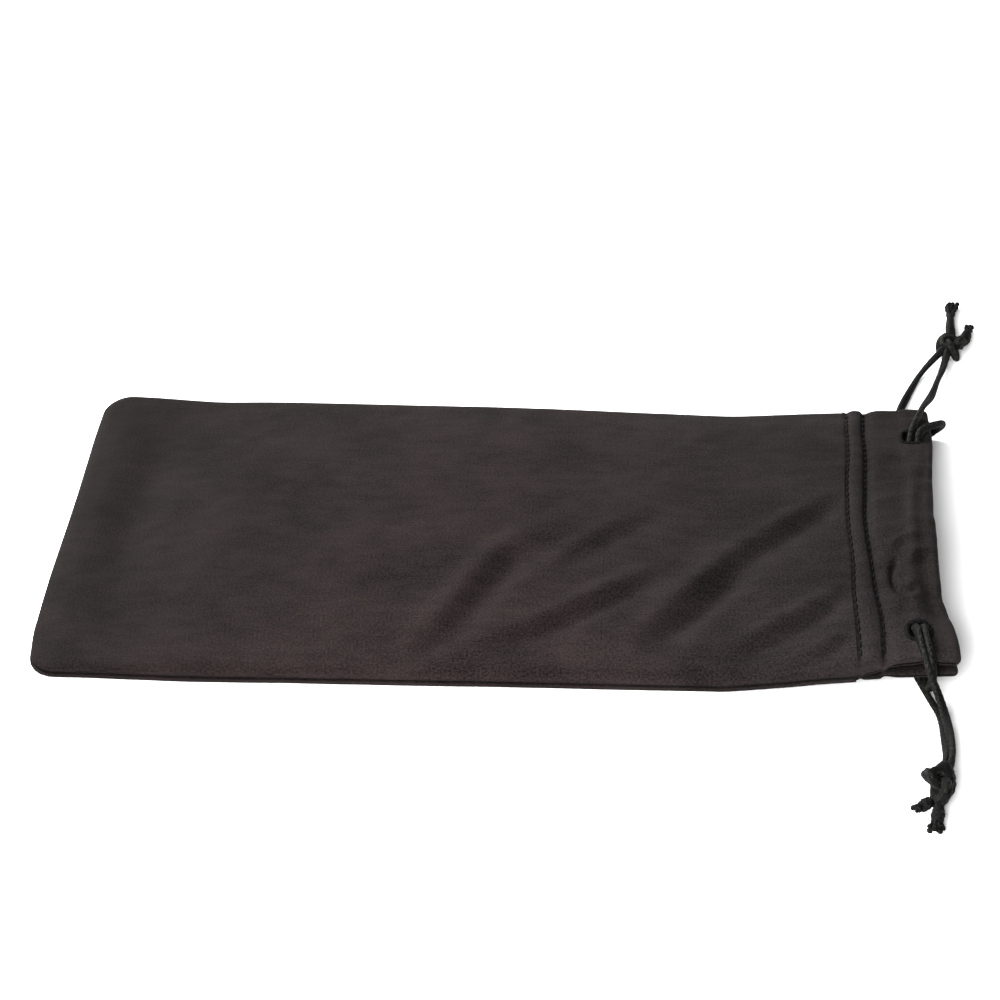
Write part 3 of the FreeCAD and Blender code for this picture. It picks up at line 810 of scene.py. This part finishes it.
def carried_frames(points):
    """Tangent and two carried directions along a line of points."""
    tangents = np.gradient(points, axis=0)
    tangents /= np.linalg.norm(tangents, axis=1, keepdims=True)
    first = np.cross(tangents[0], (0, 0, 1))
    if np.linalg.norm(first) < 0.1:
        first = np.cross(tangents[0], (1, 0, 0))
    sides = [first / np.linalg.norm(first)]
    for tangent in tangents[1:]:
        side = sides[-1] - tangent * (sides[-1] @ tangent)
        sides.append(side / np.linalg.norm(side))
    sides = np.array(sides)
    return tangents, sides, np.cross(tangents, sides)


def tube(points, radii, sides, relief=None, floor=None):
    """Closed tube along points; radii is one number or one per point."""
    points = np.asarray(points, float)
    radii = np.broadcast_to(np.asarray(radii, float), (len(points),))
    _, first, second = carried_frames(points)
    along = lengths_along(points)
    angle = np.linspace(0, 2 * math.pi, sides, endpoint=False)
    raised = relief(angle[None, :], along[:, None]) if relief else np.ones((len(points), sides))
    size = radii[:, None] * raised
    rings = (points[:, None] + size[..., None] * (first[:, None] * np.cos(angle)[None, :, None]
                                                  + second[:, None] * np.sin(angle)[None, :, None]))
    if floor is not None:
        rings[..., 2] = np.maximum(rings[..., 2], floor)
    vertices = np.concatenate([rings.reshape(-1, 3), points[:1], points[-1:]])
    index = np.arange(len(points) * sides).reshape(len(points), sides)
    turned = np.roll(index, -1, axis=1)
    faces = np.stack([index[:-1], turned[:-1], turned[1:], index[1:]], axis=-1).reshape(-1, 4).tolist()
    start, end = len(vertices) - 2, len(vertices) - 1
    faces += [(turned[0, k], index[0, k], start) for k in range(sides)]
    faces += [(index[-1, k], turned[-1, k], end) for k in range(sides)]
    # The third place is the surface's height over the cord's full radius; the braid material paints shade
    # by it.
    flat = np.stack([np.broadcast_to(along[:, None], size.shape), angle[None, :] * radii[:, None],
                     size / radii.max()], axis=-1).reshape(-1, 3)
    flat = np.concatenate([flat, [(0, 0, 0.9), (along[-1], 0, 0.9)]])
    return vertices, faces, flat


def braided(line, radii, sides=20):
    """Tube of braid that doesn't reach below the table."""
    return tube(line, radii, sides, braid_relief, floor=0.0)


def tubes_mesh(name, parts, material):
    """Several tubes as one object."""
    vertices, faces, flats, count = [], [], [], 0
    for number, (points, cells, flat) in enumerate(parts):
        faces += [tuple(int(v) + count for v in cell) for cell in cells]
        vertices.append(points)
        flats.append(flat + (number * 3.7, 0, 0))
        count += len(points)
    return make_mesh(name, np.concatenate(vertices), faces, material, np.concatenate(flats))


def thread_mesh(name, lines, radius):
    return tubes_mesh(name, [tube(line, radius, 7) for line in lines], THREAD)


def arched(points, up, lift, dive):
    """A stitch: its middle lifted off the cloth and both ends drawn into it."""
    share = np.linspace(-1, 1, len(points))
    points = np.array(points, float)
    points[:, 2] += up * (lift - (lift + dive) * np.abs(share) ** 3)
    return points


def make_stitch_rows(hem, face, up):
    for label, row in (("first", FIRST_ROW), ("second", SECOND_ROW)):
        centres = np.arange(-19, 20) * STITCH_PITCH + needle_places(row)
        for side, chosen in (("near", centres < 1), ("far", centres >= 1)):
            lines = []
            for centre in centres[chosen]:
                Y = np.linspace(centre - STITCH_HALF, centre + STITCH_HALF, 9)
                X = row_place(row, Y)
                x, y = place(X, Y)
                x = x + rng.uniform(-0.05, 0.05)
                lines.append(arched(np.stack([x, y, face(X, Y)], axis=-1), up, 0.16, 0.3))
            piece = thread_mesh(f"{hem}_{label}_stitching_{side}", lines, STITCH_RADIUS)
            follow_corner(piece)
            if side == "near":
                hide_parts(f"{hem}_{label}_stitching")


def make_buttonhole(side, hem, face, up):
    """Ring of close stitches over the rim of one cord hole."""
    lines = []
    for angle in np.linspace(0, 2 * math.pi, HOLE_STITCHES, endpoint=False):
        c, s = math.cos(angle), math.sin(angle)
        radius = (abs(c / HOLE_HALF[0]) ** 3 + abs(s / HOLE_HALF[1]) ** 3) ** (-1 / 3)
        reach = np.array([-0.10, -0.08, 0.08, 0.3, 0.55, 0.65])
        lift = np.array([-0.35, 0.0, 0.17, 0.2, 0.12, -0.2]) + rng.uniform(-0.03, 0.03)
        X = HOLE_X[side] + c * (radius + reach)
        Y = HOLE_Y[side] + s * (radius + reach)
        lines.append(lay(X, Y, face(X, Y) + up * lift))
    name = f"{side}_{hem}_buttonhole"
    piece = thread_mesh(f"{name}_stitches", lines, EDGING_RADIUS)
    follow_corner(piece)
    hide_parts(name)


def braid_relief(angle, along):
    """Diamonds of a braid, slightly flat and slowly twisting."""
    turn = 2 * math.pi * along / BRAID_PITCH
    one = np.abs(np.cos(2 * angle + turn))
    other = np.abs(np.cos(2 * angle - turn))
    flat = 1 + 0.16 * np.cos(2 * (angle - along * 0.12))
    return flat * (0.84 + 0.18 * np.maximum(one, other) ** 1.5)


def spline_points(name, route, step):
    """Even points, in metres, along the smooth curve that a route's control points make."""
    data = bpy.data.curves.new(name, "CURVE")
    data.dimensions = "3D"
    spline = data.splines.new("NURBS")
    spline.points.add(len(route) - 1)
    for point, place_of_point in zip(spline.points, route):
        point.co = (*np.multiply(place_of_point, MM), 1.0)
    spline.order_u = 3
    spline.use_endpoint_u = True
    data.resolution_u = 16
    carrier = bpy.data.objects.new(name, data)
    mesh = bpy.data.meshes.new_from_object(carrier)
    line = np.array([vertex.co for vertex in mesh.vertices])
    bpy.data.objects.remove(carrier)
    bpy.data.meshes.remove(mesh)
    along = lengths_along(line)
    marks = np.linspace(0, along[-1], int(along[-1] / step) + 2)
    return np.stack([np.interp(marks, along, line[:, axis]) for axis in range(3)], axis=1)


def cord_mesh(name, runs):
    piece = tubes_mesh(name, [braided(run / MM, CORD / 2, ROUND) for run in runs], BRAID)
    return piece


# ---- drawstrings ----

# Control points of the tails, loops and cut ends, in millimetres.
ROUTES = {
    "near_cord_front_tail": [
        (79.4, -30, 8.6), (79.3, -34.4, 8.6), (79.4, -37.2, 10.6), (79.7, -41.6, 10.6),
        (80.2, -45.6, 10.4), (81.4, -47.9, 7.4), (83.1, -49.5, 3.8), (84, -52.4, 2), (84.5, -58, 1.8),
        (84.4, -64.6, 1.8), (82.8, -69.4, 2.2), (81.8, -71.6, 2.6)],
    "near_cord_back_tail": [
        (79.2, -29, 3), (79.1, -33.4, 3.2), (79.4, -37.2, 1.2), (80.6, -42, 0.8), (82, -47, 0.8),
        (83.7, -51.9, 0.8), (83.6, -58.4, 0.8), (83.4, -64.4, 0.9), (81.2, -69.2, 1.8),
        (80.1, -71.4, 2.2)],
    "far_cord_front_tail": [
        (84.2, 26.4, 7.1), (84.3, 29.8, 7), (84.8, 33, 8.9), (86, 36.6, 8.8), (87.2, 40.4, 8.6),
        (88.4, 44, 8), (89.5, 47.4, 6.7), (90.8, 51.8, 4.9), (92.3, 57.4, 3), (93.8, 63.6, 1.8),
        (95.5, 68.8, 1.4), (96.9, 74, 2), (97.7, 76.4, 2.4)],
    "far_cord_back_tail": [
        (83.9, 26.4, 2), (83.9, 30, 2), (83.6, 34, 0.9), (82.9, 39, 0.8), (83, 45.6, 0.8),
        (84.7, 53.2, 0.8), (87.6, 61, 0.8), (90.7, 68.4, 1), (95.5, 75.4, 1.9), (97.1, 77.4, 2.3)],
    "near_cord_loop": [
        (79.4, -29, 8.9), (79.9, -18, 8.9), (80.8, -7, 9.6), (82, 2.5, 9.1), (83.6, 12, 8.4),
        (85.2, 22, 7.4), (86, 29.4, 6.9), (86.3, 32.6, 8.9), (88.4, 34.8, 8.8), (90.6, 36.4, 8.4),
        (91.9, 38.2, 7.5), (92.4, 40.8, 5), (91.9, 43.8, 2.2), (89.9, 43.2, 0.9), (87.2, 38.8, 0.8),
        (85.8, 34.2, 1), (85.4, 30, 2.1), (84.9, 22, 1.9), (83.6, 12, 1.8), (82.1, 2.5, 2.6),
        (80.8, -7, 1.6), (79.9, -18, 2), (79.2, -28, 2.8)],
    "far_cord_loop": [
        (84.2, 26.2, 7.3), (83.7, 18, 7.9), (82.9, 10, 8.4), (82.2, 2.5, 7.5), (81.6, -8, 9.2),
        (81.1, -18, 8.7), (80.9, -28, 8.3), (80.8, -34.4, 8.4), (80.8, -37.2, 10.6), (81.1, -41.6, 10.6),
        (81.5, -45.2, 10.4), (81.8, -46.8, 8.4), (81.9, -46.9, 5.6), (81.8, -45.8, 2.6),
        (81.6, -43.4, 1.2), (81.4, -39.2, 0.9), (81, -34.8, 2.8), (81, -28, 2.8), (81.2, -18, 2),
        (81.7, -8, 1.6), (82.3, 2.5, 1), (83, 10, 1.6), (83.8, 18, 1.8), (84.1, 25.6, 2)],
}
ENDS = {
    "near_cord_front_end": [
        (80.5, -78, 2), (79.9, -81, 1.1), (79.4, -84.2, 0.8)],
    "near_cord_back_end": [
        (79.2, -76.4, 1.9), (77.6, -77.8, 1), (75.7, -78.4, 0.8)],
    "far_cord_front_end": [
        (98.6, 79.9, 2.2), (99, 85.4, 1.4), (99.6, 92, 0.9), (101, 99.2, 0.8)],
    "far_cord_back_end": [
        (100.6, 78.8, 2.1), (102.4, 82.8, 1.2), (103.9, 89.2, 0.8)],
}
PATH_STEP = 0.0001
ROUND = 24  # sides of a cord's tube


def make_loop(name, corner):
    """A drawstring's loop inside the hems, cut at the middle into its turn on one side and its two strands
    on the other.
    """
    path = spline_points(name, ROUTES[name], PATH_STEP)
    middle = place(HEM_START, np.array([0.0]))[1][0] * MM
    beyond = np.flatnonzero((path[:, 1] - middle) * CORNERS[corner] > 0)
    first, last = beyond[0], beyond[-1] + 1
    other = "near" if corner == "far" else "far"
    turn = cord_mesh(f"{name}_braid_{corner}", [path[first:last]])
    strands = cord_mesh(f"{name}_braid_{other}", [path[:first + 1], path[last - 1:]])
    follow_corner(turn)
    follow_corner(strands)
    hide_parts(name)


KNOT_LOBES = 1.75  # how far the knot's three lobes reach out of its middle


def make_knot(name, hand):
    """Overhand knot of both strands, fitted into its CAD box."""
    low, high = part_box(name)
    turn = np.linspace(0, 2 * math.pi, 150)
    strands = []
    for shift, lift, size in ((0.0, 0.0, 1.0), (0.42, 0.35, 0.8)):
        t = turn + shift
        x = hand * (np.sin(t) + KNOT_LOBES * np.sin(2 * t)) * size
        y = (np.cos(t) - KNOT_LOBES * np.cos(2 * t)) * size
        z = lift - np.sin(3 * t)
        line = np.stack([x, y, z], axis=1)
        wobble = 0.12 * np.sin(np.outer(turn * 2 + shift, (1, 2, 3)) + (0.3, 1.1, 2.0))
        strands.append(line + wobble)
    every = np.concatenate(strands)
    reach = CORD * 0.5
    span = (high - low) / 2 - (reach * 1.02, reach * 1.02, reach * 1.1)
    middle = (every.max(axis=0) + every.min(axis=0)) / 2
    factor = span / ((every.max(axis=0) - every.min(axis=0)) / 2)
    centre = (low + high) / 2
    parts = [braided((line - middle) * factor + centre, CORD * 0.53) for line in strands]
    wrap = np.linspace(-0.5, 1.6 * math.pi, 70)
    band = np.stack([np.cos(wrap) * span[0] * 0.72, np.sin(wrap) * span[1] * 0.42 + 0.3 * hand,
                     np.abs(np.sin(wrap * 0.5 + 0.4)) * span[2]], axis=1)
    parts.append(braided(centre + band, CORD * 0.5))
    piece = tubes_mesh(f"{name}_braid", parts, BRAID)
    return piece


def make_frayed_end(name, tufts, spread):
    """A cut cord end: a short braided stub that opens into loose yarns with curled tips."""
    path = spline_points(name, ENDS[name], PATH_STEP) / MM
    length = np.linalg.norm(np.diff(path, axis=0), axis=1).sum()
    share = np.linspace(0, 1, len(path))
    stub = path[share <= 0.72]
    taper = np.interp(np.linspace(0, 1, len(stub)), (0, 0.45, 0.85, 1), (1.0, 1.55, 1.35, 0.8)) * CORD / 2
    parts = [braided(stub, taper)]
    for _ in range(tufts):
        start = rng.uniform(0.25, 0.6)
        stop = rng.uniform(0.82, 1.0)
        run = path[(share >= start) & (share <= stop)]
        open_out = np.linspace(0, 1, len(run)) ** 1.4
        sideways = rng.uniform(-1, 1) * spread
        heading = run[-1] - run[0]
        across = np.array([-heading[1], heading[0], 0]) / max(np.linalg.norm(heading), 1e-6)
        line = run + across * (open_out * sideways)[:, None]
        line[:, 2] += rng.uniform(-0.3, 0.9) * np.sin(open_out * math.pi * 0.75)
        line += 0.10 * np.sin(np.outer(np.linspace(0, length * 1.3, len(run)), (1.0, 1.4, 1.9))
                              + rng.uniform(0, 6, 3))
        tip = rng.uniform(0.45, 0.68)
        radii = np.interp(np.linspace(0, length, len(run)), (0, length - 1.5, length - 0.6, length),
                          (0.50, 0.34, tip, tip * 0.6))
        line[:, 2] = np.maximum(line[:, 2], radii * 0.8)
        parts.append(tube(line[::3], radii[::3], 9, floor=0.0))
    piece = tubes_mesh(f"{name}_yarns", parts, BRAID)
    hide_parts(name)
    return piece


def make_free_tail(name):
    """One strand from its buttonhole to the knot."""
    path = spline_points(name, ROUTES[name], PATH_STEP)
    piece = cord_mesh(f"{name}_braid", [path])
    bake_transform(piece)
    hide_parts(name)


def make_drawstring(side, hand):
    knot = make_knot(f"{side}_knot", hand)
    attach(knot, f"{side}_tail")
    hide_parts(f"{side}_knot")
    ends = {}
    for face, tufts, spread in (("front", 11, 1.7), ("back", 8, 1.3)):
        ends[face] = make_frayed_end(f"{side}_cord_{face}_end", tufts, spread)
        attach(ends[face], f"{side}_tail")
    make_free_tail(f"{side}_cord_front_tail")
    make_free_tail(f"{side}_cord_back_tail")
    make_loop(f"{side}_cord_loop", "far" if side == "near" else "near")


# ---- hidden seam inside the pouch ----


def seam_box(name):
    """Corners of a hidden seam's CAD part, and the axis that it runs along."""
    low, high = part_box(name)
    return low, high, 0 if high[0] - low[0] > high[1] - low[1] else 1


def hold_seam(piece, long_axis):
    """The long seam's placement is baked like the cloth around it; the bottom seam is attached to the
    pouch.
    """
    if long_axis == 0:
        follow_corner(piece)
    else:
        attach(piece, "pouch")


def make_allowance(name):
    """Turned-in strip of cloth along a seam, with an overlocked ruffle at its free edge."""
    low, high, long_axis = seam_box(name)
    size = high - low
    along = np.linspace(low[long_axis], high[long_axis], int(size[long_axis] / 0.8))
    across = np.linspace(low[1 - long_axis], high[1 - long_axis], 9)
    grid = np.stack(np.meshgrid(along, across, indexing="ij"), axis=-1)
    if long_axis == 1:
        grid = grid[..., ::-1]
    ruffle = 0.10 * np.sin(grid[..., long_axis] / 2.3) * np.linspace(0.2, 1, 9)
    points = np.concatenate([grid, (high[2] - 0.12 + ruffle)[..., None]], axis=-1)
    normals = grid_normals(points)
    flip = normals[0, 0, 2] < 0
    piece = make_shell(f"{name}_strip", points, normals, size[2] - 0.3, pattern_of(points), flip)
    hold_seam(piece, long_axis)
    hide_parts(name)


def make_seam_thread(name):
    """Row of lockstitches that holds a turned-in strip."""
    low, high, long_axis = seam_box(name)
    centre = (low + high) / 2
    lines = []
    for start in np.arange(low[long_axis] + 0.4, high[long_axis] - 2.0, STITCH_PITCH):
        line = np.repeat(centre[None, :], 7, axis=0)
        line[:, long_axis] = np.linspace(start, start + SEAM_STITCH, 7)
        lines.append(arched(line, 1, 0.08, 0.12))
    piece = thread_mesh(f"{name}_stitches", lines, SEAM_STITCH_RADIUS)
    hold_seam(piece, long_axis)
    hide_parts(name)


# ---- room ----

FLOOR_REACH = 4.0
FLOOR_LEVEL = -0.0001
WORLD_STRENGTH = 0.50


def make_room():
    floor = bpy.data.meshes.new("floor")
    corners = ((-1, -1), (1, -1), (1, 1), (-1, 1))
    floor.from_pydata([(x * FLOOR_REACH, y * FLOOR_REACH, FLOOR_LEVEL) for x, y in corners],
                      [], [(0, 1, 2, 3)])
    floor.materials.append(make_floor_material())
    table = bpy.data.objects.new("floor", floor)
    bpy.context.scene.collection.objects.link(table)

    world = bpy.data.worlds.new("studio")
    world.use_nodes = True
    background = world.node_tree.nodes["Background"]
    background.inputs["Color"].default_value = (1.0, 1.0, 1.0, 1.0)
    background.inputs["Strength"].default_value = WORLD_STRENGTH
    bpy.context.scene.world = world

    for name, position, size, power in (("softbox", (-0.75, 0.75, 0.70), 0.45, 55.0),
                                        ("fill", (-0.45, -0.95, 0.60), 0.8, 58.0)):
        light = bpy.data.lights.new(name, "AREA")
        light.size = size
        light.energy = power
        lamp = bpy.data.objects.new(name, light)
        lamp.location = position
        aim(lamp, Vector(position))
    bpy.context.scene.view_settings.view_transform = "Standard"


# ---- the whole pouch ----

make_camera()
make_room()
for cord_side, knot_hand in (("near", 1), ("far", -1)):
    make_drawstring(cord_side, knot_hand)
make_panel("front_panel", ROLL_ANGLES, 0.0, FRONT_STEP, front_height, CLOTH, False)
make_panel("back_panel", ROLL_ANGLES[2:], BACK_MARGIN, BACK_STEP, back_height, BACK_CLOTH, True)
for hem, face, thickness, up in (("front_hem", front_hem_face, front_thickness, 1),
                                 ("back_hem", back_hem_face, back_thickness, -1)):
    make_hem(hem, face, thickness, up)
    make_stitch_rows(hem, face, up)
    for hole_side in CORNERS:
        make_buttonhole(hole_side, hem.split("_")[0], face, up)
for strip in ("near", "bottom"):
    make_allowance(f"{strip}_seam_allowance")
    make_seam_thread(f"{strip}_seam_thread")
